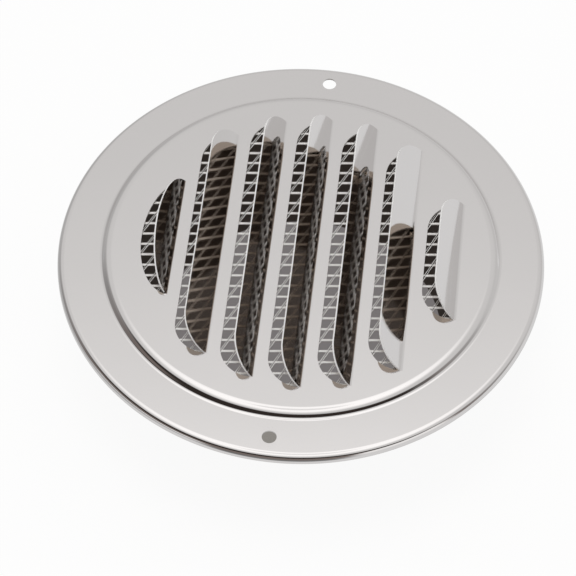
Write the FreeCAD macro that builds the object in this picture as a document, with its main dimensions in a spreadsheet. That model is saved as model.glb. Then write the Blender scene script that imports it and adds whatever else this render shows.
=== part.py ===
"""Round louvred vent cover: a pressed face plate, an insect mesh and a duct collar.

The cover stands on the collar's lower edge, face up. Z is its axis, and the two
screw holes lie on the Y axis. Sizes are in millimetres and degrees.
"""
import FreeCAD, Part
import math
import os
import Sketcher

doc = FreeCAD.newDocument("vent_cover")
sheet = doc.addObject("Spreadsheet::Sheet", "sizes")

SIZES = [
    # Duct collar
    ("collar_dia", 98.5),
    ("collar_wall", 0.5),
    ("collar_bend", 1),
    ("collar_depth", 41),
    ("collar_seat", 15),
    ("collar_lead_in", 4.75),
    ("collar_lip", 5.25),
    # Face plate
    ("sheet_thick", 0.5),
    ("lip_clearance", 2.6),
    ("step_run", 1.8),
    ("step_rise", 1.8),
    ("step_bend", 2),
    ("flange_width", 13.1),
    ("rim_drop", 2.6),
    ("rim_bend", 2.2),
    ("hole_dia", 4.2),
    ("hole_inset", 6.7),
    # Louvres
    ("louvre_count", 7),
    ("louvre_pitch", 14),
    ("louvre_reach", 10.7),
    ("louvre_angle", 52),
    ("louvre_inset", 0.25),
    ("end_louvre_length", 42),
    ("louvre_corner", 9.8),
    ("bow_corner", 6),
    ("bow_run", 0.5),
    ("louvre_turn", 1.9),
    ("fold_overlap", 0.8),
    # Insect mesh
    ("mesh_inset", 0.5),
    ("mesh_thick", 0.8),
    ("mesh_pitch", 8.3),
    ("mesh_strand", 1.6),
    ("mesh_border", 3),
    ("mesh_turn", 8),
    ("mesh_skew", 60),
]
for row, (alias, value) in enumerate(SIZES, start=1):
    sheet.set(f"A{row}", alias)
    sheet.set(f"B{row}", str(value))
    sheet.setAlias(f"B{row}", alias)
doc.recompute()


def size(alias):
    """The value of one driving size."""
    return float(getattr(sheet, alias))


# Radii, from the collar outwards
COLLAR_R = "(sizes.collar_dia / 2)"
TIP_R = f"({COLLAR_R} - sizes.collar_lead_in)"
LIP_R = f"({COLLAR_R} + sizes.collar_lip)"
MESH_R = f"({LIP_R} - sizes.mesh_inset)"
STEP_TOP_R = f"({LIP_R} + sizes.lip_clearance)"
STEP_FOOT_R = f"({STEP_TOP_R} + sizes.step_run)"
PLATE_R = f"({STEP_FOOT_R} + sizes.flange_width)"
HOLE_R = f"({PLATE_R} - sizes.hole_inset)"
LOUVRE_RING_R = f"({COLLAR_R} - sizes.louvre_inset)"

# Levels above the collar's lower edge, which the cover stands on
FLANGE_TOP = "(sizes.collar_depth + sizes.rim_drop)"
FLANGE_UNDER = f"({FLANGE_TOP} - sizes.sheet_thick)"
FACE_TOP = f"({FLANGE_TOP} + sizes.step_rise)"
FACE_UNDER = f"({FACE_TOP} - sizes.sheet_thick)"
MESH_UNDER = f"({FACE_UNDER} - sizes.mesh_thick)"
LIP_UNDER = f"({MESH_UNDER} - sizes.collar_wall)"

# Sideways shift of the step's under face, which keeps the sheet equally thick on the slope
STEP_SLOPE = "sqrt(sizes.step_run^2 + sizes.step_rise^2)"
STEP_SHIFT = f"(sizes.sheet_thick * ({STEP_SLOPE} - sizes.step_run) / sizes.step_rise)"

# Radius of the first louvre's bowed free edge, tangent to its two corners
BOW_SIDE = "(sizes.louvre_reach - sizes.bow_run)"
BOW_HALF = "(sizes.end_louvre_length / 2 - sizes.bow_corner)"
LOUVRE_BOW = (f"(({BOW_SIDE}^2 + {BOW_HALF}^2 - sizes.bow_corner^2)"
              f" / (2 * ({BOW_SIDE} - sizes.bow_corner)))")


def worth(expression):
    """The number that an expression on the sheet's sizes comes to."""
    return float(sheet.evalExpression(expression))


# Where an outline is first drawn, before its corners move to their sizes
ROUGH = size("collar_depth")


def origin_plane(body, role):
    """One of a body's own origin planes."""
    return next(item for item in body.Origin.OriginFeatures if item.Role == role)


def new_sketch(body, name, role):
    """An empty sketch on one of the body's origin planes."""
    sketch = body.newObject("Sketcher::SketchObject", name)
    sketch.AttachmentSupport = [(origin_plane(body, role), "")]
    sketch.MapMode = "FlatFace"
    return sketch


def bind(sketch, constraint, name, expression):
    """Add a named dimension and tie it to the sheet."""
    index = sketch.addConstraint(constraint)
    sketch.renameConstraint(index, name)
    sketch.setExpression(f"Constraints.{name}", expression)


def section(body, name, corners):
    """A closed outline on the XZ plane, its corners (name, across, up) tied to the sheet."""
    sketch = new_sketch(body, name, "XZ_Plane")
    count = len(corners)
    turns = [2 * math.pi * k / count for k in range(count)]
    rough = [FreeCAD.Vector(ROUGH + math.cos(turn), ROUGH - math.sin(turn), 0) for turn in turns]
    edges = [sketch.addGeometry(Part.LineSegment(rough[k], rough[(k + 1) % count])) for k in range(count)]
    for k, edge in enumerate(edges):
        sketch.addConstraint(Sketcher.Constraint("Coincident", edge, 2, edges[(k + 1) % count], 1))
    for edge, (label, across, up) in zip(edges, corners):
        if across == "axis":
            sketch.addConstraint(Sketcher.Constraint("PointOnObject", edge, 1, -2))
        else:
            bind(sketch, Sketcher.Constraint("DistanceX", -1, 1, edge, 1, ROUGH), f"{label}_across", across)
        if up == "ground":
            sketch.addConstraint(Sketcher.Constraint("PointOnObject", edge, 1, -1))
        else:
            bind(sketch, Sketcher.Constraint("DistanceY", -1, 1, edge, 1, ROUGH), f"{label}_up", up)
    return sketch


def revolve(body, sketch, name):
    """Turn a half section once round the Z axis."""
    feature = body.newObject("PartDesign::Revolution", name)
    feature.Profile = sketch
    feature.ReferenceAxis = (sketch, ["V_Axis"])
    feature.Angle = 360
    doc.recompute()
    return feature


def ring_edges(feature, radius, level):
    """Names of a feature's round edges of one radius at one height."""
    names = []
    for number, edge in enumerate(feature.Shape.Edges, start=1):
        curve = edge.Curve
        if not isinstance(curve, Part.Circle):
            continue
        if abs(curve.Radius - radius) < 1e-4 and abs(curve.Center.z - level) < 1e-4:
            names.append(f"Edge{number}")
    return names


def round_edge(body, name, radius, level, bend):
    """Round one ring edge with a bend radius from the sheet."""
    base = body.Tip
    feature = body.newObject("PartDesign::Fillet", name)
    feature.Base = (base, ring_edges(base, worth(radius), worth(level)))
    feature.setExpression("Radius", bend)
    doc.recompute()
    return feature


def cut_through(body, sketch, name):
    """Cut a sketch on the ground plane up through the whole body."""
    before = body.Shape.Volume
    feature = body.newObject("PartDesign::Pocket", name)
    feature.Profile = sketch
    feature.Type = "ThroughAll"
    feature.Reversed = True
    doc.recompute()
    if body.Shape.Volume >= before:
        raise RuntimeError(f"{name} cut nothing")
    return feature


def tongue_outline(sketch, half_length, bowed):
    """One louvre's tongue: straight fold on the V axis, rounded free corners, free edge to its left.

    half_length is the expression for half the fold. The first louvre's free edge is bowed,
    and the others' are straight.
    """
    half = worth(half_length)
    reach = size("louvre_reach")
    corner = size("bow_corner") if bowed else size("louvre_corner")
    if bowed:
        bow = worth(LOUVRE_BOW)
        middle = bow - reach
        corner_x = middle - math.sqrt((bow - corner) ** 2 - (half - corner) ** 2)
        sweep = math.atan2(half - corner, corner_x - middle)
    else:
        corner_x = corner - reach
        sweep = math.pi
    normal = FreeCAD.Vector(0, 0, 1)
    high = FreeCAD.Vector(corner_x, half - corner, 0)
    low = FreeCAD.Vector(corner_x, corner - half, 0)
    turn = 2 * math.pi

    def arc(centre, radius, start, end):
        return Part.ArcOfCircle(Part.Circle(centre, normal, radius), start, end)

    def line(x1, y1, x2, y2):
        return Part.LineSegment(FreeCAD.Vector(x1, y1, 0), FreeCAD.Vector(x2, y2, 0))

    if bowed:
        free_edge = arc(FreeCAD.Vector(middle, 0, 0), bow, sweep, turn - sweep)
    else:
        free_edge = line(-reach, half - corner, -reach, corner - half)
    fold = sketch.addGeometry(line(0, -half, 0, half))
    far_end = sketch.addGeometry(line(0, half, corner_x, half))
    far_corner = sketch.addGeometry(arc(high, corner, math.pi / 2, sweep))
    free = sketch.addGeometry(free_edge)
    near_corner = sketch.addGeometry(arc(low, corner, turn - sweep, 1.5 * math.pi))
    near_end = sketch.addGeometry(line(corner_x, -half, 0, -half))

    for constraint in (
        ("Coincident", fold, 2, far_end, 1),
        ("Tangent", far_end, 2, far_corner, 1),
        ("Tangent", far_corner, 2, free, 1),
        ("Tangent", free, 2, near_corner, 1),
        ("Tangent", near_corner, 2, near_end, 1),
        ("Coincident", near_end, 2, fold, 1),
        ("PointOnObject", fold, 1, -2),
        ("Horizontal", far_end),
        ("Horizontal", near_end),
        ("Equal", far_corner, near_corner),
    ):
        sketch.addConstraint(Sketcher.Constraint(*constraint))
    sketch.addConstraint(Sketcher.Constraint("Symmetric", fold, 1, fold, 2, -1, 1))
    bind(sketch, Sketcher.Constraint("Distance", fold, 2 * half), "fold_length", f"2 * {half_length}")
    corner_size = "sizes.bow_corner" if bowed else "sizes.louvre_corner"
    bind(sketch, Sketcher.Constraint("Radius", far_corner, corner), "corner", corner_size)
    if bowed:
        sketch.addConstraint(Sketcher.Constraint("PointOnObject", free, 3, -1))
        bind(sketch, Sketcher.Constraint("Radius", free, bow), "bow", LOUVRE_BOW)
        bind(sketch, Sketcher.Constraint("DistanceX", -1, 1, free, 3, middle), "middle",
             f"{LOUVRE_BOW} - sizes.louvre_reach")
    else:
        sketch.addConstraint(Sketcher.Constraint("Vertical", free))
        bind(sketch, Sketcher.Constraint("DistanceX", free, 1, -1, 1, reach), "reach", "sizes.louvre_reach")


def louvre(body, index):
    """Cut one slot and stand its tongue up along the fold on the slot's right side."""
    last = int(size("louvre_count")) - 1
    centre = f"(({index} - (sizes.louvre_count - 1) / 2) * sizes.louvre_pitch)"
    fold_x = f"({centre} + sizes.louvre_reach / 2)"
    if index in (0, last):
        half_length = "(sizes.end_louvre_length / 2)"
    else:
        half_length = f"sqrt({LOUVRE_RING_R}^2 - {centre}^2)"
    bowed = index == 0
    mark = f"louvre_{index + 1}"

    slot = new_sketch(body, f"{mark}_slot", "XY_Plane")
    slot.setExpression("AttachmentOffset.Base.x", fold_x)
    tongue_outline(slot, half_length, bowed)
    cut_through(body, slot, f"{mark}_cut")

    angle = "sizes.louvre_angle"
    thick = "sizes.sheet_thick"
    over = "sizes.fold_overlap"
    bend = section(body, f"{mark}_fold", [
        ("valley", fold_x, FACE_TOP),
        ("face_top", f"{fold_x} + {over}", FACE_TOP),
        ("face_under", f"{fold_x} + {over}", FACE_UNDER),
        ("mitre", f"{fold_x} - {thick} * tan({angle} / 2)", FACE_UNDER),
        ("tongue_under", f"{fold_x} - {thick} * sin({angle}) - {over} * cos({angle})",
         f"{FACE_TOP} - {thick} * cos({angle}) + {over} * sin({angle})"),
        ("tongue_top", f"{fold_x} - {over} * cos({angle})", f"{FACE_TOP} + {over} * sin({angle})"),
    ])
    fold = body.newObject("PartDesign::Pad", f"{mark}_bend")
    fold.Profile = bend
    fold.SideType = "Symmetric"
    fold.setExpression("Length", f"2 * {half_length}")
    doc.recompute()

    flat = new_sketch(body, f"{mark}_tongue", "XY_Plane")
    flat.AttachmentOffset = FreeCAD.Placement(
        FreeCAD.Vector(0, 0, 0), FreeCAD.Rotation(FreeCAD.Vector(0, 1, 0), size("louvre_angle")))
    flat.setExpression("AttachmentOffset.Base.x", fold_x)
    flat.setExpression("AttachmentOffset.Base.z", FACE_TOP)
    flat.setExpression("AttachmentOffset.Rotation.Angle", angle)
    tongue_outline(flat, half_length, bowed)
    blade = body.newObject("PartDesign::Pad", f"{mark}_blade")
    blade.Profile = flat
    blade.Reversed = True
    blade.setExpression("Length", thick)
    doc.recompute()


def screw_holes(body):
    """Two plain holes across the flange, on a line turned from the folds by the louvres' turn."""
    sketch = new_sketch(body, "screw_hole_plan", "XY_Plane")
    across = f"{HOLE_R} * sin(sizes.louvre_turn)"
    along = f"{HOLE_R} * cos(sizes.louvre_turn)"
    x = worth(across)
    y = worth(along)
    normal = FreeCAD.Vector(0, 0, 1)
    far = sketch.addGeometry(Part.Circle(FreeCAD.Vector(x, y, 0), normal, size("hole_dia") / 2))
    near = sketch.addGeometry(Part.Circle(FreeCAD.Vector(-x, -y, 0), normal, size("hole_dia") / 2))
    sketch.addConstraint(Sketcher.Constraint("Equal", far, near))
    sketch.addConstraint(Sketcher.Constraint("Symmetric", far, 3, near, 3, -1, 1))
    bind(sketch, Sketcher.Constraint("Diameter", far, size("hole_dia")), "hole", "sizes.hole_dia")
    bind(sketch, Sketcher.Constraint("DistanceX", -1, 1, far, 3, x), "across", across)
    bind(sketch, Sketcher.Constraint("DistanceY", -1, 1, far, 3, y), "along", along)
    cut_through(body, sketch, "screw_holes")


def face_plate():
    """One pressed sheet: turned-down rim, flat flange, step, raised face, louvres and screw holes."""
    body = doc.addObject("PartDesign::Body", "face_plate")
    body.Label = "face_plate"
    corners = [
        ("face_mid", "axis", FACE_TOP),
        ("face_edge", STEP_TOP_R, FACE_TOP),
        ("foot", STEP_FOOT_R, FLANGE_TOP),
        ("flange_edge", PLATE_R, FLANGE_TOP),
        ("rim_outer", PLATE_R, "sizes.collar_depth"),
        ("rim_inner", f"{PLATE_R} - sizes.sheet_thick", "sizes.collar_depth"),
        ("flange_under", f"{PLATE_R} - sizes.sheet_thick", FLANGE_UNDER),
        ("foot_under", f"{STEP_FOOT_R} - {STEP_SHIFT}", FLANGE_UNDER),
        ("face_under", f"{STEP_TOP_R} - {STEP_SHIFT}", FACE_UNDER),
        ("under_mid", "axis", FACE_UNDER),
    ]
    revolve(body, section(body, "plate_section", corners), "plate_turn")

    outside = "sizes.step_bend + sizes.sheet_thick"
    inside = "sizes.step_bend"
    round_edge(body, "rim_shoulder", PLATE_R, FLANGE_TOP, "sizes.rim_bend")
    round_edge(body, "rim_under", f"{PLATE_R} - sizes.sheet_thick", FLANGE_UNDER,
               "sizes.rim_bend - sizes.sheet_thick")
    round_edge(body, "step_shoulder", STEP_TOP_R, FACE_TOP, outside)
    round_edge(body, "step_foot", STEP_FOOT_R, FLANGE_TOP, inside)
    round_edge(body, "shoulder_under", f"{STEP_TOP_R} - {STEP_SHIFT}", FACE_UNDER, inside)
    round_edge(body, "foot_under", f"{STEP_FOOT_R} - {STEP_SHIFT}", FLANGE_UNDER, outside)

    for index in range(int(size("louvre_count"))):
        louvre(body, index)
    screw_holes(body)
    body.Placement = FreeCAD.Placement(
        FreeCAD.Vector(0, 0, 0), FreeCAD.Rotation(FreeCAD.Vector(0, 0, 1), size("louvre_turn")))
    body.setExpression("Placement.Rotation.Angle", "sizes.louvre_turn")
    return body


def duct_collar():
    """The collar behind the plate: out-turned flange, straight duct seat and tapered lead-in."""
    body = doc.addObject("PartDesign::Body", "duct_collar")
    body.Label = "duct_collar"
    wall = "sizes.collar_wall"
    knee = "sizes.collar_depth - sizes.collar_seat"
    corners = [
        ("mouth", f"{COLLAR_R} - {wall}", MESH_UNDER),
        ("lip_top", LIP_R, MESH_UNDER),
        ("lip_under", LIP_R, LIP_UNDER),
        ("neck", COLLAR_R, LIP_UNDER),
        ("knee", COLLAR_R, knee),
        ("tip", TIP_R, "ground"),
        ("tip_inner", f"{TIP_R} - {wall}", "ground"),
        ("knee_inner", f"{COLLAR_R} - {wall}", knee),
    ]
    revolve(body, section(body, "collar_section", corners), "collar_turn")
    round_edge(body, "mouth_bend", f"{COLLAR_R} - {wall}", MESH_UNDER, f"sizes.collar_bend + {wall}")
    round_edge(body, "neck_bend", COLLAR_R, LIP_UNDER, "sizes.collar_bend")
    return body


def insect_mesh():
    """The mesh disc between plate and collar: a flat sheet with lozenge gaps in slanted rows."""
    border = worth(MESH_R) - size("mesh_border")
    pitch = size("mesh_pitch")
    skew = math.radians(size("mesh_skew"))
    turn = math.radians(size("mesh_turn"))
    step = pitch / math.sin(skew)
    along = FreeCAD.Vector(math.cos(turn), math.sin(turn), 0) * step
    aslant = FreeCAD.Vector(math.cos(turn + skew), math.sin(turn + skew), 0) * step
    open_share = (pitch - size("mesh_strand")) / pitch
    level = FreeCAD.Vector(0, 0, worth(MESH_UNDER))
    reach = int(2 * border / pitch) + 1
    gaps = []
    for i in range(-reach, reach + 1):
        for j in range(-reach, reach + 1):
            centre = along * i + aslant * j
            signs = ((-1, -1), (1, -1), (1, 1), (-1, 1))
            corners = [centre + (along * a + aslant * b) * (open_share / 2) for a, b in signs]
            if max(corner.Length for corner in corners) < border:
                gaps.append(Part.makePolygon([corner + level for corner in corners + corners[:1]]))
    outline = Part.Wire(Part.makeCircle(worth(MESH_R), level))
    disc = Part.makeFace([outline] + gaps, "Part::FaceMakerBullseye")
    feature = doc.addObject("Part::Feature", "insect_mesh")
    feature.Label = "insect_mesh"
    feature.Shape = disc.extrude(FreeCAD.Vector(0, 0, size("mesh_thick")))
    feature.Placement = FreeCAD.Placement()
    print("mesh gaps", len(gaps))
    return feature


parts = [face_plate(), insect_mesh(), duct_collar()]
doc.recompute()

for item in doc.Objects:
    if "Invalid" in item.State or "Error" in item.State:
        raise RuntimeError(f"{item.Name} failed: {item.State}")
for part in parts:
    if part.Shape.isNull() or not part.Shape.isValid() or len(part.Shape.Solids) != 1:
        raise RuntimeError(f"{part.Label} is not one sound solid")

os.makedirs("parts", exist_ok=True)
for part in parts:
    part.Shape.exportStep(f"parts/{part.Label}.step")
    print(part.Label, round(part.Shape.Volume, 1), "mm3")
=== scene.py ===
# %% [markdown]
# # A round louvred vent cover
# The cover is three pieces: a face plate pressed from one polished steel sheet, a disc of
# expanded-metal mesh behind its louvres, and a collar that pushes into the duct. The packed
# solids say where the pieces are and how large. Each is modelled again here with smooth bends and
# crisp edges, because a mirror finish shows every facet of a plain mesh.

# %% Load the frame
import math
import bpy
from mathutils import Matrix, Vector


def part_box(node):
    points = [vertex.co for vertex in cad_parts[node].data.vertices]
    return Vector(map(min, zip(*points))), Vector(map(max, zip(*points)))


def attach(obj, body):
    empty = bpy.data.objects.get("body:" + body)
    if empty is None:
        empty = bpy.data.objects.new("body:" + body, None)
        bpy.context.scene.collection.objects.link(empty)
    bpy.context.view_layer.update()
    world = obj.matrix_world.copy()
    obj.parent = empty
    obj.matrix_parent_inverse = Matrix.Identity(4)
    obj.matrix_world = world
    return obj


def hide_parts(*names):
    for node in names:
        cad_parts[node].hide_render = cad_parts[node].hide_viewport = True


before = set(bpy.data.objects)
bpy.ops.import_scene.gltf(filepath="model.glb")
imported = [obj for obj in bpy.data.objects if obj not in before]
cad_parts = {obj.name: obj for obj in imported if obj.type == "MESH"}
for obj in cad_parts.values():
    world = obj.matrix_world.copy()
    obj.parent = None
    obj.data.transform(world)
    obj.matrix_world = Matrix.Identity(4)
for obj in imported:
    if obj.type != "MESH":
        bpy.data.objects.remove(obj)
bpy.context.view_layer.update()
MM = 0.001

# %% [markdown]
# ## Levels
# A new piece has to lie where its solid lies, so heights and the widest radius are read from the
# solids' boxes. Every other size is the part's own, in millimetres, and stands in the cell that
# first needs it. The raised face rests on the mesh, so its top is one sheet's thickness higher.

# %% Read the levels
plate_low, plate_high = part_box("face_plate")
mesh_low, mesh_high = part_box("insect_mesh")
collar_low, collar_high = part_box("duct_collar")
SHEET = 0.5 * MM
STEP_RISE = 1.8 * MM
FACE_TOP = mesh_high.z + SHEET
FLANGE_TOP = FACE_TOP - STEP_RISE
print("raised face at", round(FACE_TOP / MM, 2), "mm, flange at", round(FLANGE_TOP / MM, 2), "mm")

# %% [markdown]
# ## Selecting in code
# By hand, a step starts with a click on what it is to change. A script has no mouse, so these
# helpers clear the selection and then pick points, edges or faces by a test on their place or
# normal. Loading leaves every solid selected, so each new piece begins with a clean start.

# %% Selection helpers
def start_clean():
    """Leave edit mode and deselect every object."""
    if bpy.context.object and bpy.context.object.mode != "OBJECT":
        bpy.ops.object.mode_set(mode="OBJECT")
    bpy.ops.object.select_all(action="DESELECT")


def make_active(piece):
    """Select one object alone and make it the active one."""
    start_clean()
    piece.select_set(True)
    bpy.context.view_layer.objects.active = piece


def settle(piece):
    """Put an object's place, turn and scale into its mesh."""
    make_active(piece)
    bpy.ops.object.transform_apply(location=True, rotation=True, scale=True)


def pick(piece, mode, test):
    """In edit mode, select only the elements of one kind that pass a test."""
    bpy.ops.object.mode_set(mode="EDIT")
    bpy.ops.mesh.select_mode(type=mode)
    bpy.ops.mesh.select_all(action="DESELECT")
    bpy.ops.object.mode_set(mode="OBJECT")
    mesh = piece.data
    elements = {"VERT": mesh.vertices, "EDGE": mesh.edges, "FACE": mesh.polygons}[mode]
    count = 0
    for element in elements:
        element.select = bool(test(element))
        count += element.select
    bpy.ops.object.mode_set(mode="EDIT")
    return count


selected = len(bpy.context.selected_objects)
start_clean()
print("selected after loading", selected, "after a clean start", len(bpy.context.selected_objects))

# %% [markdown]
# ## The sheet's section
# A press turns a flat disc into a rim, a flange, a step and a raised face, all one sheet. In
# section that is one line with three bends. Each bend is an arc that touches the straights on
# both of its sides, so a mirrored line runs through it without a break. The step is rounder at
# its top than at its foot, as pressed steps are. The section is worked out first, as points of
# radius and height.

# %% Draw the section
ROUND_SEGMENTS = 256
BEND_STEPS = 8
STEP_TOP_R = 57.1 * MM
STEP_FOOT_R = 58.9 * MM
STEP_TOP_BEND = 3.3 * MM
STEP_FOOT_BEND = 1.4 * MM
PLATE_R = plate_high.x
RIM_BEND = 2.2 * MM
RIM_EDGE = plate_low.z


def turns(angle):
    """Evenly spaced angles from zero to the whole turn of a bend."""
    return [angle * k / BEND_STEPS for k in range(BEND_STEPS + 1)]


def step_curve():
    """Points (radius, height) from the flange up the step to the raised face."""
    slope = math.atan2(STEP_RISE, STEP_FOOT_R - STEP_TOP_R)
    foot_start = STEP_FOOT_R + STEP_FOOT_BEND * math.tan(slope / 2)
    top_end = STEP_TOP_R - STEP_TOP_BEND * math.tan(slope / 2)
    foot = [(foot_start - STEP_FOOT_BEND * math.sin(turn),
             FLANGE_TOP + STEP_FOOT_BEND * (1 - math.cos(turn))) for turn in turns(slope)]
    top = [(top_end + STEP_TOP_BEND * math.sin(turn),
            FACE_TOP - STEP_TOP_BEND * (1 - math.cos(turn))) for turn in reversed(turns(slope))]
    return foot + top


def rim_curve():
    """Points (radius, height) from the flange round the rim's bend to its lower edge."""
    bend = [(PLATE_R - RIM_BEND + RIM_BEND * math.sin(turn),
             FLANGE_TOP - RIM_BEND * (1 - math.cos(turn))) for turn in turns(math.pi / 2)]
    return bend + [(PLATE_R, RIM_EDGE)]


print("points along the step", len(step_curve()), "and round the rim", len(rim_curve()))

# %% [markdown]
# ## Pressing the disc
# The blank is a filled circle at the flange's height. Each inset draws a smaller ring inside it,
# and the inset's depth lifts that ring along the step. The outer edge is then extruded round the
# rim, ring by ring. Spinning the section would be shorter, but it would cut the raised face into
# a fan of thin triangles. Insets leave it one flat polygon, and a mirror needs that.

# %% Press the disc
TOUCH = 1e-6


def draw_along(section):
    """Extrude the selected ring of edges along a section and turn the faces outwards."""
    radius, height = section[0]
    for next_radius, next_height in section[1:]:
        lift = {"value": (0, 0, next_height - height)}
        bpy.ops.mesh.extrude_edges_move(TRANSFORM_OT_translate=lift)
        scale = next_radius / radius
        bpy.ops.transform.resize(value=(scale, scale, 1), center_override=(0, 0, next_height))
        radius, height = next_radius, next_height
    bpy.ops.mesh.select_all(action="SELECT")
    bpy.ops.mesh.normals_make_consistent(inside=False)
    bpy.ops.object.mode_set(mode="OBJECT")


def press_disc():
    """The sheet's top face: a filled circle, inset up the step and extruded round the rim."""
    start_clean()
    rim = rim_curve()
    radius, height = rim[0]
    flange_edge = radius
    bpy.ops.mesh.primitive_circle_add(
        vertices=ROUND_SEGMENTS, radius=radius, fill_type="NGON", location=(0, 0, height))
    disc = bpy.context.object
    settle(disc)
    # An inset is measured square to the ring's sides, and a radius runs to its corners.
    side_share = math.cos(math.pi / ROUND_SEGMENTS)
    bpy.ops.object.mode_set(mode="EDIT")
    bpy.ops.mesh.select_all(action="SELECT")
    for next_radius, next_height in step_curve():
        bpy.ops.mesh.inset(thickness=(radius - next_radius) * side_share,
                           depth=next_height - height, use_even_offset=True)
        radius, height = next_radius, next_height
    pick(disc, "EDGE", lambda edge: all(
        disc.data.vertices[v].co.xy.length > flange_edge - TOUCH for v in edge.vertices))
    draw_along(rim)
    return disc


plate = press_disc()
print("pressed disc", len(plate.data.polygons), "faces, raised face at",
      round(max(v.co.z for v in plate.data.vertices) / MM, 3), "mm")

# %% [markdown]
# ## The sheet's thickness
# So far the sheet is a surface. A Solidify modifier adds the lower side and closes the edge
# between both, and its even offset keeps the thickness the same through the bends. An offset of
# -1 puts the new side behind the normals and 1 puts it in front, so the sign follows from the way
# the raised face points.

# %% Thicken the sheet
def finish_modifier(piece, kind, **settings):
    """Add one modifier with its settings and apply it."""
    make_active(piece)
    modifier = piece.modifiers.new(kind.title(), kind)
    for name, value in settings.items():
        setattr(modifier, name, value)
    bpy.ops.object.modifier_apply(modifier=modifier.name)


raised_face = max(plate.data.polygons, key=lambda face: face.area)
behind = -1.0 if raised_face.normal.z > 0 else 1.0
finish_modifier(plate, "SOLIDIFY", thickness=SHEET, offset=behind, use_even_offset=True)
print("sheet", len(plate.data.polygons), "faces, lowest at",
      round(min(v.co.z for v in plate.data.vertices) / MM, 3), "mm")

# %% [markdown]
# ## Blanks for the louvres
# A louvre is lanced: the tool cuts three sides of a tongue and folds it up along the fourth, so
# slot and tongue share one outline. The blank is a plane whose two free corners are rounded by a
# vertex bevel. The first louvre follows the round of the plate, so its blank is half an oval: a
# circle stretched and bisected along the fold. Each blank serves twice, as cutter and as tongue.

# %% Flat blanks
LOUVRE_COUNT = 7
LOUVRE_PITCH = 14.0 * MM
LOUVRE_REACH = 10.7 * MM
LOUVRE_RING_R = 49.0 * MM
LOUVRE_CORNER = 9.8 * MM
CORNER_SEGMENTS = 20
END_LOUVRE_HALF = 21.0 * MM
BOW_SEGMENTS = 96


def fold_line(index):
    """Distance of a louvre's fold from the centre line."""
    return (index - (LOUVRE_COUNT - 1) / 2) * LOUVRE_PITCH + LOUVRE_REACH / 2


def fold_half(index):
    """Half the length of a fold: the middle louvres end on a ring, the outer two are shorter."""
    if index in (0, LOUVRE_COUNT - 1):
        return END_LOUVRE_HALF
    centre = fold_line(index) - LOUVRE_REACH / 2
    return math.sqrt(LOUVRE_RING_R ** 2 - centre ** 2)


def flat_blank(index, reach):
    """One louvre's flat outline as a single face at the sheet's top, its fold parallel to Y."""
    start_clean()
    fold, half = fold_line(index), fold_half(index)
    if index == 0:
        bpy.ops.mesh.primitive_circle_add(
            vertices=BOW_SEGMENTS, radius=1, fill_type="NGON", location=(fold, 0, FACE_TOP))
        blank = bpy.context.object
        blank.scale = (reach, half, 1)
        settle(blank)
        bpy.ops.object.mode_set(mode="EDIT")
        bpy.ops.mesh.select_all(action="SELECT")
        bpy.ops.mesh.bisect(plane_co=(fold, 0, FACE_TOP), plane_no=(1, 0, 0), clear_outer=True)
    else:
        bpy.ops.mesh.primitive_plane_add(size=1, location=(fold - reach / 2, 0, FACE_TOP))
        blank = bpy.context.object
        blank.scale = (reach, 2 * half, 1)
        settle(blank)
        pick(blank, "VERT", lambda vert: vert.co.x < fold - reach / 2)
        bpy.ops.mesh.bevel(offset=LOUVRE_CORNER, offset_type="OFFSET",
                           segments=CORNER_SEGMENTS, affect="VERTICES")
    bpy.ops.object.mode_set(mode="OBJECT")
    return blank


print("fold lengths in mm", [round(2 * fold_half(index) / MM, 1) for index in range(LOUVRE_COUNT)])

# %% [markdown]
# ## Slots and screw holes
# The slots and the two screw holes go right through the sheet. Each blank is extruded into a
# cutter that stands proud of both sides, because a boolean is unsure about faces that coincide,
# and all cutters are joined so that one boolean does the work. The louvres are turned a little
# against the screw holes. It is easier to cut them straight: the holes are set back by that turn
# here, and the finished plate is turned as a whole.

# %% Cut the slots and the screw holes
LOUVRE_TURN = math.radians(1.9)
HOLE_R = 2.1 * MM
HOLE_RING_R = 65.3 * MM
HOLE_SEGMENTS = 48
PUNCH_DEPTH = 5.0 * MM
CUT_MARGIN = 1.0 * MM


def thicken(piece, up, down):
    """Extrude a flat face into a closed solid that reaches up and down from it."""
    make_active(piece)
    bpy.ops.object.mode_set(mode="EDIT")
    bpy.ops.mesh.select_all(action="SELECT")
    bpy.ops.transform.translate(value=(0, 0, up))
    bpy.ops.mesh.extrude_region_move(TRANSFORM_OT_translate={"value": (0, 0, -up - down)})
    bpy.ops.mesh.select_all(action="SELECT")
    bpy.ops.mesh.normals_make_consistent(inside=False)
    bpy.ops.object.mode_set(mode="OBJECT")


def slot_cutter(index):
    """A louvre's blank as a solid that stands proud of both sides of the sheet."""
    cutter = flat_blank(index, LOUVRE_REACH)
    thicken(cutter, CUT_MARGIN, SHEET + CUT_MARGIN)
    return cutter


def hole_punch(side):
    """A round punch at one screw hole, set back by the louvres' turn."""
    start_clean()
    way = Vector((math.sin(LOUVRE_TURN), math.cos(LOUVRE_TURN), 0)) * side
    bpy.ops.mesh.primitive_cylinder_add(vertices=HOLE_SEGMENTS, radius=HOLE_R, depth=PUNCH_DEPTH,
                                        location=way * HOLE_RING_R + Vector((0, 0, FLANGE_TOP)))
    punch = bpy.context.object
    settle(punch)
    return punch


def join(pieces, name):
    """Join several objects into the first."""
    make_active(pieces[0])
    for piece in pieces:
        piece.select_set(True)
    bpy.ops.object.join()
    pieces[0].name = name
    return pieces[0]


slots = [slot_cutter(index) for index in range(LOUVRE_COUNT)]
punch = join(slots + [hole_punch(side) for side in (1, -1)], "punch")
finish_modifier(plate, "BOOLEAN", object=punch, operation="DIFFERENCE", solver="EXACT")
bpy.data.objects.remove(punch)
print("lanced sheet", len(plate.data.polygons), "faces")

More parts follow.
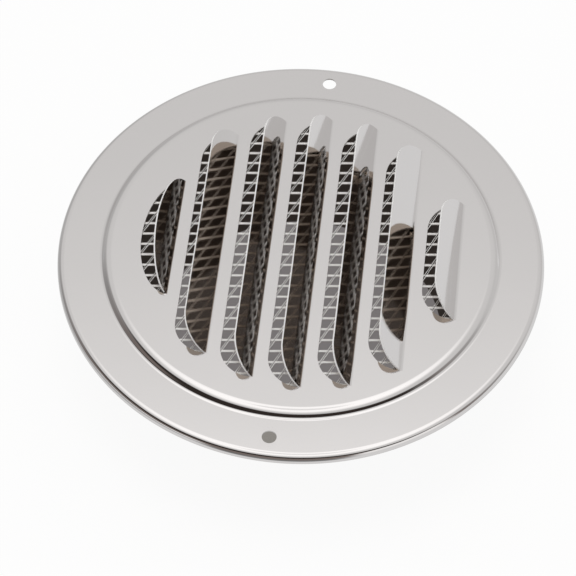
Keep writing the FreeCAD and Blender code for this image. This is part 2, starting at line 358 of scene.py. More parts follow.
# %% [markdown]
# ## Folding the tongues
# A tongue is the same blank with the sheet's thickness. Cuts close to the fold give it lines to
# bend about: each line turns all that lies beyond it by an equal share of the angle, the
# outermost first, so the fold becomes a small round. No two tongues of a hand-set tool stand
# alike, so each has its own angle, and a steep one is cut shorter to keep its lip at the common
# height. The root face is left out, because there the tongue is still the sheet. The boolean
# leaves a few points along the sheet's folds, and the tongues' roots are bisected there, so that
# both sides match.

# %% Fold the tongues
LOUVRE_ANGLE = math.radians(52)
LOUVRE_ANGLES = [math.radians(angle) for angle in (57, 48.5, 55.5, 53.5, 55, 47, 51)]
FOLD_LINES = 5
FOLD_WIDTH = 0.9 * MM
SQUARE_ON = 0.9


def points_on_fold(index):
    """Points that the boolean left along a fold of the sheet, apart from the fold's ends."""
    fold, half = fold_line(index), fold_half(index)
    return [vert.co.copy() for vert in plate.data.vertices
            if abs(vert.co.x - fold) < TOUCH and abs(vert.co.y) < half - TOUCH]


def folded_tongue(index):
    """One louvre's tongue, cut from the sheet and folded up about its right-hand side."""
    angle = LOUVRE_ANGLES[index]
    tongue = flat_blank(index, LOUVRE_REACH * min(1, math.sin(LOUVRE_ANGLE) / math.sin(angle)))
    thicken(tongue, 0, SHEET)
    fold = fold_line(index)
    pick(tongue, "FACE",
         lambda face: face.normal.x > SQUARE_ON and abs(face.center.x - fold) < TOUCH)
    bpy.ops.mesh.delete(type="ONLY_FACE")
    lines = [fold - FOLD_WIDTH * k / (FOLD_LINES - 1) for k in range(FOLD_LINES)]
    for line in lines[1:]:
        bpy.ops.mesh.select_all(action="SELECT")
        bpy.ops.mesh.bisect(plane_co=(line, 0, FACE_TOP), plane_no=(1, 0, 0))
    for point in points_on_fold(index):
        pick(tongue, "FACE",
             lambda face: abs(face.center.z - point.z) < TOUCH and face.center.x > lines[1])
        bpy.ops.mesh.bisect(plane_co=point, plane_no=(0, 1, 0))
    bpy.ops.object.mode_set(mode="OBJECT")
    for line in reversed(lines):
        pick(tongue, "VERT", lambda vert: vert.co.x < line - TOUCH)
        bpy.ops.transform.rotate(
            value=-angle / FOLD_LINES, orient_axis="Y", center_override=(line, 0, FACE_TOP))
    bpy.ops.object.mode_set(mode="OBJECT")
    return tongue


tongues = [folded_tongue(index) for index in range(LOUVRE_COUNT)]
lips = [max(v.co.z for v in tongue.data.vertices) / MM for tongue in tongues]
print("lips at", [round(lip, 2) for lip in lips], "mm")

# %% [markdown]
# ## One sheet again
# Tongues and sheet have to be one skin, or a dark seam shows along every fold. The slots' cut
# walls are deleted where tongues grow out of them, the objects are joined, and points that lie
# together are merged. Edges that still belong to a single face would be holes, so they are
# counted.

# %% Weld tongues and sheet
folds = [fold_line(index) for index in range(LOUVRE_COUNT)]


def is_root(face):
    """True for the upright cut walls that lie on a fold."""
    return (abs(face.normal.x) > SQUARE_ON
            and min(abs(face.center.x - fold) for fold in folds) < TOUCH)


make_active(plate)
print("open roots", pick(plate, "FACE", is_root))
bpy.ops.mesh.delete(type="ONLY_FACE")
bpy.ops.object.mode_set(mode="OBJECT")
plate = join([plate] + tongues, "louvred_plate")
bpy.ops.object.mode_set(mode="EDIT")
bpy.ops.mesh.select_all(action="SELECT")
bpy.ops.mesh.remove_doubles(threshold=TOUCH)
bpy.ops.object.mode_set(mode="OBJECT")
plate.rotation_euler.z = LOUVRE_TURN
settle(plate)
pick(plate, "EDGE", lambda edge: False)
bpy.ops.mesh.select_non_manifold()
bpy.ops.object.mode_set(mode="OBJECT")
print("open edges", sum(edge.select for edge in plate.data.edges))

# %% [markdown]
# ## Smooth bends, flat flats
# Smooth shading blends the normals of neighbouring faces. That rounds the bends, but it would
# also bend the reflection near every edge of a flat. A Weighted Normal modifier lets the large
# faces decide, so the flats mirror as flats, and edges past a sharp angle stay crisp.

# %% Smooth the plate
PLATE_SHARP = math.radians(25)


def polish_normals(piece, sharp):
    """Smooth shading up to an angle, with normals that follow the large flat faces."""
    make_active(piece)
    bpy.ops.object.shade_smooth_by_angle(angle=sharp)
    finish_modifier(piece, "WEIGHTED_NORMAL", mode="FACE_AREA", weight=100, keep_sharp=True)


polish_normals(plate, PLATE_SHARP)
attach(plate, "root")
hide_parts("face_plate")
print("plate", len(plate.data.polygons), "faces")

# %% [markdown]
# ## The duct collar
# The collar is a drawn ring: a lip that lies behind the mesh, a straight seat for the duct and a
# tapered lead-in. Three cylinders would do for the shape, but the drawn wall is one piece with
# round bends. A circle's edge is therefore extruded along the section, from the lip's edge
# inwards and down, and Solidify gives the wall its thickness. That tilts the lower edge, so the
# edge is flattened to stand on the table.

# %% Draw the collar
COLLAR_R = 49.25 * MM
COLLAR_TIP_R = 44.5 * MM
COLLAR_WALL = 0.5 * MM
COLLAR_BEND = 1.0 * MM
COLLAR_KNEE = 26.0 * MM
KNEE_BEND = 12.0 * MM
LIP_R = 54.5 * MM
COLLAR_SHARP = math.radians(30)


def collar_section():
    """Outer side of the collar's wall (radius, height), from the lip's edge down to the tip."""
    under = collar_high.z - COLLAR_WALL
    bend = [(COLLAR_R + COLLAR_BEND * (1 - math.sin(turn)),
             under - COLLAR_BEND * (1 - math.cos(turn))) for turn in turns(math.pi / 2)]
    lean = math.atan2(COLLAR_R - COLLAR_TIP_R, COLLAR_KNEE)
    tangent = KNEE_BEND * math.tan(lean / 2)
    middle = Vector((COLLAR_R, COLLAR_KNEE))
    start = middle + Vector((0, tangent))
    end = middle - Vector((math.sin(lean), math.cos(lean))) * tangent
    knee = [tuple(start * (1 - share) ** 2 + middle * 2 * share * (1 - share) + end * share ** 2)
            for share in turns(1)]
    return [(LIP_R, under)] + bend + knee + [(COLLAR_TIP_R, collar_low.z)]


def ring_shell(section):
    """A round shell drawn by extruding a circle's edge along a section."""
    start_clean()
    radius, height = section[0]
    bpy.ops.mesh.primitive_circle_add(
        vertices=ROUND_SEGMENTS, radius=radius, fill_type="NOTHING", location=(0, 0, height))
    shell = bpy.context.object
    settle(shell)
    bpy.ops.object.mode_set(mode="EDIT")
    bpy.ops.mesh.select_all(action="SELECT")
    draw_along(section)
    return shell


collar = ring_shell(collar_section())
collar.name = "drawn_collar"
seat_middle = (COLLAR_KNEE + collar_high.z) / 2
seat = min(collar.data.polygons, key=lambda face: abs(face.center.z - seat_middle))
inwards = -1.0 if seat.normal.xy.dot(seat.center.xy) > 0 else 1.0
finish_modifier(collar, "SOLIDIFY", thickness=COLLAR_WALL, offset=inwards, use_even_offset=True)
pick(collar, "VERT", lambda vert: vert.co.z < COLLAR_WALL)
bpy.ops.transform.resize(value=(1, 1, 0), center_override=(0, 0, collar_low.z))
bpy.ops.object.mode_set(mode="OBJECT")
polish_normals(collar, COLLAR_SHARP)
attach(collar, "root")
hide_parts("duct_collar")
collar_heights = [v.co.z / MM for v in collar.data.vertices]
print("collar from", round(min(collar_heights), 2), "to", round(max(collar_heights), 2), "mm")

# %% [markdown]
# ## The mesh's lozenges
# Expanded metal is one sheet, slit in rows and stretched, so its gaps are lozenges in rows. A
# grid gives such cells: turned by 45 degrees, squeezed along one axis and turned again, its
# squares become lozenges with one pair of sides along the rows. Cells outside the disc are
# deleted.

# %% Lay out the lozenges
MESH_R = 54.0 * MM
MESH_PITCH = 3.82 * MM
MESH_SKEW = math.radians(60)
MESH_TURN = math.radians(8)
GRID_SPARE = 1.25
EDGE_SPARE = 0.6


def lozenge_disc():
    """A flat disc of lozenges: a square grid set on its corner, squeezed and turned."""
    start_clean()
    side = MESH_PITCH / math.sin(MESH_SKEW)
    cells = 2 * int(MESH_R / MESH_PITCH * GRID_SPARE) + 1
    bpy.ops.mesh.primitive_grid_add(x_subdivisions=cells, y_subdivisions=cells, size=cells * side,
                                    location=(0, 0, (mesh_low.z + mesh_high.z) / 2))
    disc = bpy.context.object
    disc.rotation_euler.z = math.radians(45)
    settle(disc)
    squeeze = Vector((math.cos(MESH_SKEW / 2), math.sin(MESH_SKEW / 2))) * math.sqrt(2)
    disc.scale = (squeeze.x, squeeze.y, 1)
    disc.rotation_euler.z = MESH_SKEW / 2 + MESH_TURN
    settle(disc)
    pick(disc, "FACE", lambda face: face.center.xy.length > MESH_R - side * EDGE_SPARE)
    bpy.ops.mesh.delete(type="FACE")
    bpy.ops.object.mode_set(mode="OBJECT")
    return disc


mesh = lozenge_disc()
mesh.name = "expanded_mesh"
print("lozenges", len(mesh.data.polygons))

# %% [markdown]
# ## Strands from lozenges
# The strands are what stays between the gaps. Two insets in every lozenge leave an outer strip,
# an inner strip and the gap. Along the rows the outer strips of two neighbours make one flat bar.
# Across them the inner strips stay, so each crossing strand is a pair of thin rails with a groove
# between. Stretching leans the strands, so one side of each gap is lifted and the other lowered.

# %% Open the strands
MESH_GROOVE = 0.175 * MM
MESH_RAIL = 0.15 * MM
MESH_LEAN = 0.15 * MM
MESH_WALL = 0.3 * MM
ALONG_ROW = 0.8
STRAND_SHARP = math.radians(40)
row = Vector((math.cos(MESH_TURN), math.sin(MESH_TURN), 0))
rise = Vector((-row.y, row.x, 0))


def open_gaps():
    """Inset every lozenge twice, delete the gaps and lean the strips round them."""
    make_active(mesh)
    bpy.ops.object.mode_set(mode="EDIT")
    bpy.ops.mesh.select_all(action="SELECT")
    for width in (MESH_GROOVE, MESH_RAIL):
        bpy.ops.mesh.inset(thickness=width, use_individual=True)
    bpy.ops.object.mode_set(mode="OBJECT")
    lifted = {}
    for gap in [face for face in mesh.data.polygons if face.select]:
        for index in gap.vertices:
            lifted[index] = (mesh.data.vertices[index].co - gap.center).dot(rise) < 0
    bpy.ops.object.mode_set(mode="EDIT")
    bpy.ops.mesh.delete(type="ONLY_FACE")
    bpy.ops.object.mode_set(mode="OBJECT")
    for shift, wanted in ((MESH_LEAN, True), (-MESH_LEAN, False)):
        pick(mesh, "VERT", lambda vert: lifted.get(vert.index) is wanted)
        bpy.ops.transform.translate(value=(0, 0, shift))


def is_spare(strip):
    """True for the strips that are no strand: inner ones along the rows, outer ones across them."""
    corners = [mesh.data.vertices[index].co for index in strip.vertices]
    sides = [corners[k] - corners[k - 1] for k in range(len(corners))]
    second, longest = sorted(sides, key=lambda side: side.length)[-2:]
    width = 2 * strip.area / (longest.length + second.length)
    inner = abs(width - MESH_RAIL) < abs(width - MESH_GROOVE)
    along_row = abs(longest.normalized().dot(row)) > ALONG_ROW
    return inner == along_row


open_gaps()
print("spare strips", pick(mesh, "FACE", is_spare))
bpy.ops.mesh.delete(type="FACE")
bpy.ops.object.mode_set(mode="OBJECT")
finish_modifier(mesh, "SOLIDIFY", thickness=MESH_WALL, offset=0.0)
make_active(mesh)
bpy.ops.object.shade_smooth_by_angle(angle=STRAND_SHARP)
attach(mesh, "root")
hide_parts("insect_mesh")
mesh_heights = [v.co.z / MM for v in mesh.data.vertices]
print("mesh", len(mesh.data.polygons), "faces from", round(min(mesh_heights), 2),
      "to", round(max(mesh_heights), 2), "mm")

# %% [markdown]
# ## Shader maths
# A material is a small program of nodes. Linking them one by one hides what they work out, so
# this class wraps one output socket. Ordinary operators on it add Math nodes, and one method adds
# any other node: its settings first, then its sockets by name, or by number where names repeat.

# %% Socket wrapper
class Tap:
    """One value in a node tree, with arithmetic that adds Math nodes."""

    def __init__(self, tree, socket=None):
        self.tree = tree
        self.socket = socket

    def node(self, kind, settings=None, output=0, **inputs):
        """Add a node: its settings first, then the values or links of its sockets."""
        made = self.tree.nodes.new(kind)
        for name, value in (settings or {}).items():
            if name == "stops":
                elements = made.color_ramp.elements
                elements[0].position, elements[1].position = value[0][0], value[-1][0]
                for position, _ in value[1:-1]:
                    elements.new(position)
                for element, (_, colour) in zip(elements, value):
                    element.color = colour
            else:
                setattr(made, name, value)
        for name, value in inputs.items():
            socket = made.inputs[int(name[1:]) if name[1:].isdigit() else name.replace("_", " ")]
            if isinstance(value, Tap):
                self.tree.links.new(value.socket, socket)
            else:
                socket.default_value = value
        return Tap(self.tree, made.outputs[output])

    def maths(self, operation, first, second):
        """One Math node on two values."""
        return self.node("ShaderNodeMath", {"operation": operation}, i0=first, i1=second)

    def ease(self, low, high, start=0.0, end=1.0):
        """A level that goes smoothly from start to end while this value goes from low to high."""
        return self.node("ShaderNodeMapRange", {"interpolation_type": "SMOOTHSTEP"}, Value=self,
                         From_Min=low, From_Max=high, To_Min=start, To_Max=end)

    def blend(self, first, second):
        """A colour between two, with this value as the second one's share."""
        return self.node("ShaderNodeMix", {"data_type": "RGBA"}, 2, i0=self, i6=first, i7=second)

    def along(self, direction):
        """How far this vector reaches along a direction."""
        return self.node("ShaderNodeVectorMath", {"operation": "DOT_PRODUCT"}, 1,
                         i0=self, i1=direction)

    def __add__(self, other):
        return self.maths("ADD", self, other)

    def __radd__(self, other):
        return self.maths("ADD", other, self)

    def __sub__(self, other):
        return self.maths("SUBTRACT", self, other)

    def __rsub__(self, other):
        return self.maths("SUBTRACT", other, self)

    def __mul__(self, other):
        return self.maths("MULTIPLY", self, other)

    def __rmul__(self, other):
        return self.maths("MULTIPLY", other, self)

    def __truediv__(self, other):
        return self.maths("DIVIDE", self, other)

    def __rtruediv__(self, other):
        return self.maths("DIVIDE", other, self)

    def __lt__(self, other):
        return self.maths("LESS_THAN", self, other)

    def __gt__(self, other):
        return self.maths("GREATER_THAN", self, other)


print("ways to add nodes", [name for name in vars(Tap) if not name.startswith("_")])

# %% [markdown]
# ## Rolled steel sheet
# Bright rolled sheet is nearly a mirror. What tells it from plain chrome is its warm grey, a
# faint haze from handling, hairline scratches and the slight waviness of thin sheet. One noise
# clouds colour and roughness, a stretched one draws the hairlines, and a very low bump ripples
# the surface. A picture could carry all that, but noise on the object's own coordinates has no
# seams.

# %% Finish of rolled sheet
HAZE_SCALE = 35.0
HAZE_SHARE = 0.6
HAZE_SHADE = 0.955
HAZE_ROUGHNESS = 0.035
HAIRLINE_STRETCH = (4000.0, 60.0, 60.0)
HAIRLINE_TURN = (0.0, 0.0, 0.6)
HAIRLINE_ROUGHNESS = 0.02
HAIRLINE_HEIGHT = 0.03
RIPPLE_SCALE = 55.0
GRAIN_SCALE = 900.0
GRAIN_HEIGHT = 0.02
BUMP_STRENGTH = 0.25
BUMP_DISTANCE = 0.2 * MM


def rolled_sheet(place, colour, haze, wave):
    """Colour, roughness and normal of rolled sheet with haze, hairlines and waviness."""
    cloud = place.node("ShaderNodeTexNoise", Vector=place, Scale=HAZE_SCALE,
                       Detail=4.0, Roughness=0.55)
    hazy = [channel * HAZE_SHADE for channel in colour]
    shade = (cloud * HAZE_SHARE).blend((*colour, 1.0), (*hazy, 1.0))
    stretched = place.node("ShaderNodeMapping", Vector=place,
                           Scale=HAIRLINE_STRETCH, Rotation=HAIRLINE_TURN)
    hairline = place.node("ShaderNodeTexNoise", Vector=stretched, Scale=1.0, Detail=3.0)
    roughness = haze + cloud * HAZE_ROUGHNESS + hairline * HAIRLINE_ROUGHNESS
    ripple = place.node("ShaderNodeTexNoise", Vector=place, Scale=RIPPLE_SCALE, Detail=1.0)
    grain = place.node("ShaderNodeTexNoise", Vector=place, Scale=GRAIN_SCALE, Detail=2.0)
    height = ripple * wave + grain * GRAIN_HEIGHT + hairline * HAIRLINE_HEIGHT
    bump = place.node("ShaderNodeBump", Height=height,
                      Strength=BUMP_STRENGTH, Distance=BUMP_DISTANCE)
    return shade, roughness, bump


def new_material(name):
    """A new node material, its shader and the object's coordinates."""
    material = bpy.data.materials.new(name)
    material.use_nodes = True
    shader = material.node_tree.nodes["Principled BSDF"]
    return material, shader, Tap(material.node_tree).node("ShaderNodeTexCoord", output="Object")


def feed(node, name, value):
    """Link a value to one of a node's inputs."""
    value.tree.links.new(value.socket, node.inputs[name])


def steel(name, colour, haze, wave, metallic=1.0):
    """A material of rolled steel sheet."""
    material, shader, place = new_material(name)
    shader.inputs["Metallic"].default_value = metallic
    sheet = rolled_sheet(place, colour, haze, wave)
    for socket, value in zip(("Base Color", "Roughness", "Normal"), sheet):
        feed(shader, socket, value)
    return material


plate_steel = steel("polished_plate_steel", (0.83, 0.812, 0.808), haze=0.035, wave=0.35)
print(plate_steel.name, "has", len(plate_steel.node_tree.nodes), "nodes")

# %% [markdown]
# ## Backs, cut edges and strands
# Only the sheet's front is polished bright. Its back is painted brown as painted shade, the dim
# light under the tongues, and the louvres mirror it into each other. A sheared edge is rough and
# catches the light from all sides, so it is a thin bright line round every slot: matt and hardly
# metallic here. The strands of the mesh are etched bright, and a half-metallic shader keeps them
# light even where they mirror the dark duct.

# %% Other steels
# Painted shade: the back's brown stands in for the dim light under the tongues.
shaded_back_steel = steel("plate_back_painted_shade", (0.56, 0.485, 0.415), haze=0.035, wave=0.35)
edge_steel = steel("sheared_edge_steel", (0.95, 0.945, 0.94), haze=0.5, wave=0.5, metallic=0.1)
mesh_steel = steel("mesh_strand_steel", (0.97, 0.96, 0.945), haze=0.35, wave=0.3, metallic=0.45)
print("steels", [material.name for material in (shaded_back_steel, edge_steel, mesh_steel)])

# %% [markdown]
# ## The collar's sheet
# The collar is the same sheet, dull outside. Its inner wall is rougher and painted dark brown, as
# painted shade for the dim inside of the duct, and it makes the openings look deep. Two materials
# on two sets of faces would do, but a mask in one material shows how to work with coordinates.
# A point is inside when its distance from the axis is less than that of the wall's middle at its
# height.

# %% Collar sheet
# Painted shade: the inner wall's dark brown stands in for the dim inside of the duct.
DUCT_SHADE_DARK = (0.23, 0.195, 0.168, 1.0)
DUCT_SHADE_LIGHT = (0.39, 0.34, 0.30, 1.0)
INNER_PATCHES = 90.0
INNER_ROUGHNESS = 0.25
UP = (0.0, 0.0, 1.0)
LEVEL = (1.0, 1.0, 0.0)


def collar_sheet_steel():
    """Dull steel outside, rough steel with a painted brown shade on the inner wall."""
    material, shader, place = new_material("collar_sheet_steel")
    shader.inputs["Metallic"].default_value = 1.0
    shade, roughness, bump = rolled_sheet(place, (0.70, 0.655, 0.60), haze=0.2, wave=0.6)
    flat = place.node("ShaderNodeVectorMath", {"operation": "MULTIPLY"}, i0=place, i1=LEVEL)
    radius = place.node("ShaderNodeVectorMath", {"operation": "LENGTH"}, 1, i0=flat)
    middle = place.node("ShaderNodeMapRange", Value=place.along(UP),
                        From_Min=0.0, From_Max=COLLAR_KNEE,
                        To_Min=COLLAR_TIP_R - COLLAR_WALL / 2, To_Max=COLLAR_R - COLLAR_WALL / 2)
    inside = radius < middle
    patches = place.node("ShaderNodeTexNoise", Vector=place, Scale=INNER_PATCHES, Detail=5.0)
    # The inner wall gets the painted brown shade, in patches.
    feed(shader, "Base Color", inside.blend(shade, patches.blend(DUCT_SHADE_DARK, DUCT_SHADE_LIGHT)))
    feed(shader, "Roughness", roughness + inside * INNER_ROUGHNESS)
    feed(shader, "Normal", bump)
    return material


collar_steel = collar_sheet_steel()
print(collar_steel.name, "has", len(collar_steel.node_tree.nodes), "nodes")

# %% [markdown]
# ## Dressing the pieces
# Each piece gets its main steel, and so does the solid it stands for. The plate then gets two
# more: its back on the faces that look down, and the sheared steel on the narrow faces across the
# sheet's thickness. Those are found by shape, as four-sided faces one sheet's thickness wide.

# %% Dress the pieces
LOOKS_DOWN = -0.2
EDGE_LIMIT = 0.02 * MM


def dress(piece, material):
    """Give a piece one material."""
    piece.data.materials.clear()
    piece.data.materials.append(material)


def repaint(piece, material, test):
    """Give the faces that pass a test another material."""
    make_active(piece)
    piece.data.materials.append(material)
    piece.active_material_index = len(piece.data.materials) - 1
    count = pick(piece, "FACE", test)
    bpy.ops.object.material_slot_assign()
    bpy.ops.object.mode_set(mode="OBJECT")
    return count


def is_cut_edge(face):
    """True for the faces across the sheet's thickness, round the louvres and slots."""
    corners = [plate.data.vertices[index].co for index in face.vertices]
    narrow = min((corners[k] - corners[k - 1]).length for k in range(len(corners)))
    return (len(corners) == 4 and abs(narrow - SHEET) < EDGE_LIMIT
            and face.center.xy.length < STEP_TOP_R)


for piece, node, material in ((plate, "face_plate", plate_steel),
                              (collar, "duct_collar", collar_steel),
                              (mesh, "insect_mesh", mesh_steel)):
    dress(piece, material)
    dress(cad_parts[node], material)
# The faces that look down get the painted brown shade.
print("back faces", repaint(plate, shaded_back_steel, lambda face: face.normal.z < LOOKS_DOWN))
print("cut edges", repaint(plate, edge_steel, is_cut_edge))

# %% [markdown]
# ## The table in the mirror
# The cover stands on a white table, and its bends mirror that table. A real table is dimmer close
# to the cover, which shades it, in front, where the camera stands, and a little on the left.
# These levels count in reflections only, so they shape the steel's look and leave the table
# white.

# %% Mirrored table
MIRRORED_TABLE = 0.74
SHADED_TABLE = 0.38
SHADE_RANGE = (0.05, 0.11)
TABLE_FRONT = 0.17
FRONT_RANGE = (0.15, 0.19)
FRONT_SPREAD = (0.86, 0.96)
LEFT_RANGE = (0.09, 0.16)
LEFT_SHADE = 0.4
FRONT = (0.0, -1.0, 0.0)
LEFT = (-1.0, 0.0, 0.0)


def mirrored_table(place, distance):
    """How bright the table looks in the steel, by the place on the table."""
    level = distance.ease(*SHADE_RANGE, SHADED_TABLE, MIRRORED_TABLE)
    ahead = place.along(FRONT)
    front = ahead.ease(*FRONT_RANGE) * (ahead / distance).ease(*FRONT_SPREAD)
    level = level * (1.0 - front) + front * TABLE_FRONT
    left = place.along(LEFT).ease(*LEFT_RANGE)
    return level * (1.0 - LEFT_SHADE * left)


print("mirrored table from", TABLE_FRONT, "in front to", MIRRORED_TABLE, "in the open")

# %% [markdown]
# ## The white table
# The table has to be white to the camera and still keep the cover's soft shadow. More lamps would
# burn out the steel, so most of its white is a glow that only camera and mirror rays see, and the
# rest is paint that the light falls on. Inside the collar little light comes down through the
# louvres, so the floor there is a dim, slightly warm grey.

# %% White table
TABLE_SIZE = 6.0
TABLE_PAINT = (0.85, 0.85, 0.84, 1.0)
TABLE_ROUGHNESS = 0.6
GLOW_SHARE = 0.93
DUCT_FLOOR = 0.185
MIRRORED_DUCT = 0.09
DUCT_WARMTH = 0.07


def table_material():
    """White paint with a glow for camera and mirror rays, dim inside the collar."""
    material, shader, place = new_material("table_white")
    shader.inputs["Base Color"].default_value = TABLE_PAINT
    shader.inputs["Roughness"].default_value = TABLE_ROUGHNESS
    camera_ray, glossy_ray, clear_ray = [
        place.node("ShaderNodeLightPath", output=f"Is {kind} Ray")
        for kind in ("Camera", "Glossy", "Transmission")]
    mirror_ray = glossy_ray + clear_ray
    distance = place.node("ShaderNodeVectorMath", {"operation": "LENGTH"}, 1, i0=place)
    in_duct = distance < COLLAR_TIP_R
    open_level = camera_ray + mirror_ray * mirrored_table(place, distance)
    duct_level = camera_ray * DUCT_FLOOR + mirror_ray * MIRRORED_DUCT
    level = open_level * (1.0 - in_duct) + duct_level * in_duct
    warm = level * (1.0 - in_duct * DUCT_WARMTH)
    colour = place.node("ShaderNodeCombineColor", Red=level, Green=warm, Blue=warm)
    glow = place.node("ShaderNodeEmission", Color=colour)
    paint = Tap(place.tree, shader.outputs["BSDF"])
    glow_share = (camera_ray + mirror_ray) * GLOW_SHARE
    surface = place.node("ShaderNodeMixShader", i0=glow_share, i1=paint, i2=glow)
    feed(place.tree.nodes["Material Output"], "Surface", surface)
    return material


start_clean()
bpy.ops.mesh.primitive_plane_add(size=TABLE_SIZE, location=(0, 0, 0))
floor = bpy.context.object
floor.name = "table"
floor.data.materials.append(table_material())
print("table of", TABLE_SIZE, "m with", floor.data.materials[0].name)

# %% [markdown]
# ## Walls and ceiling
# A mirror shows the room, so the room is half of the finish, and lamps alone would leave the
# steel black. The world is painted as a studio instead: its colour depends on the direction only.
# A ramp by height gives even grey walls, which the flats mirror, and a white ceiling, which draws
# the bright lines in the bends. Straight overhead it is greyer, so that the flats keep their
# colour when the cover is seen from the top.

# %% Walls and ceiling
SKY_STOPS = ((0.0, 0.62), (0.25, 0.60), (0.50, 0.66), (0.775, 0.68),
             (0.808, 0.73), (0.845, 0.84), (0.90, 1.08), (0.95, 1.2), (0.984, 1.2), (0.993, 0.9))
SKY_TINT = (1.0, 0.99, 0.98)


def walls_and_ceiling(way):
    """The room's colour by the height of a direction."""
    stops = [(height, (*[level * tint for tint in SKY_TINT], 1.0)) for height, level in SKY_STOPS]
    return way.node("ShaderNodeValToRGB", {"stops": stops}, i0=way.along(UP))


print("sky stops", len(SKY_STOPS))

# %% [markdown]
# ## The dark side of the room
# The wall behind the camera is dark, nearly black high up and brown lower down, and it fades to
# grey at its ends. The near bends mirror it as the dark line that gives the step its depth. Its
# upper edge is higher in the middle and on the left. The left of the room is a little dimmer low
# down.

# %% Dark wall
DARK_AZIMUTH = math.radians(-6)
CAMERA_SIDE = (math.sin(DARK_AZIMUTH), -math.cos(DARK_AZIMUTH), 0.0)
DARK_HIGH = (0.03, 0.024, 0.021, 1.0)
DARK_LOW = (0.20, 0.168, 0.155, 1.0)
DARK_END = (0.36, 0.35, 0.345, 1.0)
DARK_TOP, DARK_TOP_NEAR, DARK_TOP_LEFT, DARK_TOP_SOFT = 0.42, 0.34, 0.17, 0.07
HIGH_RANGE = (0.36, 0.46)
END_RANGE = (-0.2, 0.35)
WALL_RANGE = (-0.5, -0.1)
GLOOM_LEFT = (0.3, 0.6)
GLOOM_TOP, GLOOM_DEPTH, GLOOM_SHARE = 0.45, 0.3, 0.2


def dark_side(way, sky):
    """The sky with the dark wall behind the camera and the dimmer left."""
    up, near, left = [way.along(direction) for direction in (UP, CAMERA_SIDE, LEFT)]
    left = left.maths("MAXIMUM", left, 0.0)
    top = DARK_TOP + DARK_TOP_NEAR * near + DARK_TOP_LEFT * left
    below = (top - up).ease(-DARK_TOP_SOFT, DARK_TOP_SOFT)
    middle = up.ease(*HIGH_RANGE).blend(DARK_LOW, DARK_HIGH)
    wall = near.ease(*END_RANGE).blend(DARK_END, middle)
    sky = (below * near.ease(*WALL_RANGE)).blend(sky, wall)
    gloom = left.ease(*GLOOM_LEFT) * (GLOOM_TOP - up).ease(0.0, GLOOM_DEPTH) * GLOOM_SHARE
    return way.node("ShaderNodeVectorMath", {"operation": "SCALE"}, i0=sky, Scale=1.0 - gloom)


print("dark wall up to", round(DARK_TOP + DARK_TOP_NEAR, 2), "of a direction's height")

# %% [markdown]
# ## White panels
# Two low white panels stand on both sides of the camera. The rim's near bends mirror them as
# bright lines beside the dark one. Area lamps would do that too, but they would also light the
# cover, so the panels are painted into the world. The camera's own rays see plain white.

# %% Panels and world
PANEL = (0.95, 0.94, 0.93, 1.0)
PANEL_ASIDE = (0.40, 0.55)
PANEL_NEAR = (0.2, 0.4)
PANEL_TOP, PANEL_SLOPE, PANEL_SOFT = 0.26, 0.2, 0.05
WHITE = (1.0, 1.0, 1.0, 1.0)
RIGHT = (1.0, 0.0, 0.0)


def side_panels(way, sky):
    """The sky with low white panels on both sides of the camera."""
    up, near, across = [way.along(direction) for direction in (UP, CAMERA_SIDE, RIGHT)]
    aside = way.node("ShaderNodeMath", {"operation": "ABSOLUTE"}, i0=across)
    below = (PANEL_TOP + PANEL_SLOPE * across - up).ease(-PANEL_SOFT, PANEL_SOFT)
    return (aside.ease(*PANEL_ASIDE) * near.ease(*PANEL_NEAR) * below).blend(sky, PANEL)


def studio_world():
    """A world whose colour follows the direction, and is white to the camera."""
    world = bpy.data.worlds.new("studio")
    bpy.context.scene.world = world
    world.use_nodes = True
    way = Tap(world.node_tree).node("ShaderNodeTexCoord", output="Generated")
    sky = side_panels(way, dark_side(way, walls_and_ceiling(way)))
    camera_ray = way.node("ShaderNodeLightPath", output="Is Camera Ray")
    feed(world.node_tree.nodes["Background"], "Color", camera_ray.blend(sky, WHITE))
    return world


print("world nodes", len(studio_world().node_tree.nodes))

# %% [markdown]
# ## A soft box
# The world lights everything evenly, and even light gives no shadow under the rim. One weak disc
# lamp overhead, a little to the left and front, adds a soft one. Camera and steel don't see the
# lamp itself, because its image would be a white spot on the plate.

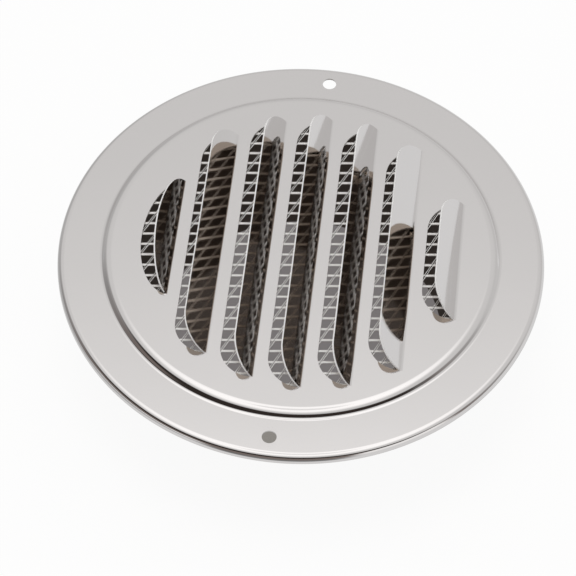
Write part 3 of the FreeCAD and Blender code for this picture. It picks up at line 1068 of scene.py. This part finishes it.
# %% Soft box
SOFT_BOX_PLACE = Vector((-0.05, -0.1, 1.2))
SOFT_BOX_SIZE = 0.5
SOFT_BOX_POWER = 4.0
start_clean()
bpy.ops.object.light_add(type="AREA", location=SOFT_BOX_PLACE)
soft_box = bpy.context.object
soft_box.name = "soft_box"
soft_box.data.shape = "DISK"
soft_box.data.size = SOFT_BOX_SIZE
soft_box.data.energy = SOFT_BOX_POWER
soft_box.rotation_euler = (-SOFT_BOX_PLACE).to_track_quat("-Z", "Y").to_euler()
soft_box.visible_camera = False
soft_box.visible_glossy = False
print("soft box", SOFT_BOX_POWER, "W at", [round(value, 2) for value in SOFT_BOX_PLACE], "m")

# %% [markdown]
# ## The camera
# The camera looks down at the cover from the front with a long lens, so that the round rim shows
# as a clean oval. Its place is given by two angles and a distance from the flange's centre. It
# aims a little beside that centre and is rolled a little, as a camera held by hand is.

# %% Camera
CAMERA_AZIMUTH = math.radians(7.24)
CAMERA_ELEVATION = math.radians(53.57)
CAMERA_DISTANCE = 720.0 * MM
CAMERA_AIM_RIGHT = -3.68 * MM
CAMERA_AIM_UP = -10.94 * MM
CAMERA_ROLL = math.radians(0.32)
CAMERA_LENS = 152.2
CAMERA_SENSOR = 36.0
way_out = Vector((math.sin(CAMERA_AZIMUTH) * math.cos(CAMERA_ELEVATION),
                  -math.cos(CAMERA_AZIMUTH) * math.cos(CAMERA_ELEVATION),
                  math.sin(CAMERA_ELEVATION)))
right = Vector((0, 0, 1)).cross(way_out).normalized()
above = way_out.cross(right)
pivot = Vector((0, 0, FLANGE_TOP))
aim = pivot + right * CAMERA_AIM_RIGHT + above * CAMERA_AIM_UP

start_clean()
bpy.ops.object.camera_add(location=pivot + way_out * CAMERA_DISTANCE)
camera = bpy.context.object
camera.name = "photo_camera"
camera.rotation_euler = (aim - camera.location).to_track_quat("-Z", "Y").to_euler()
camera.rotation_euler.rotate_axis("Z", CAMERA_ROLL)
camera.data.lens = CAMERA_LENS
camera.data.sensor_width = CAMERA_SENSOR
camera.data.clip_start, camera.data.clip_end = 0.01, 20.0
bpy.context.scene.camera = camera
bpy.context.scene.view_settings.view_transform = "Standard"
print("camera at", [round(value, 3) for value in camera.location], "m")
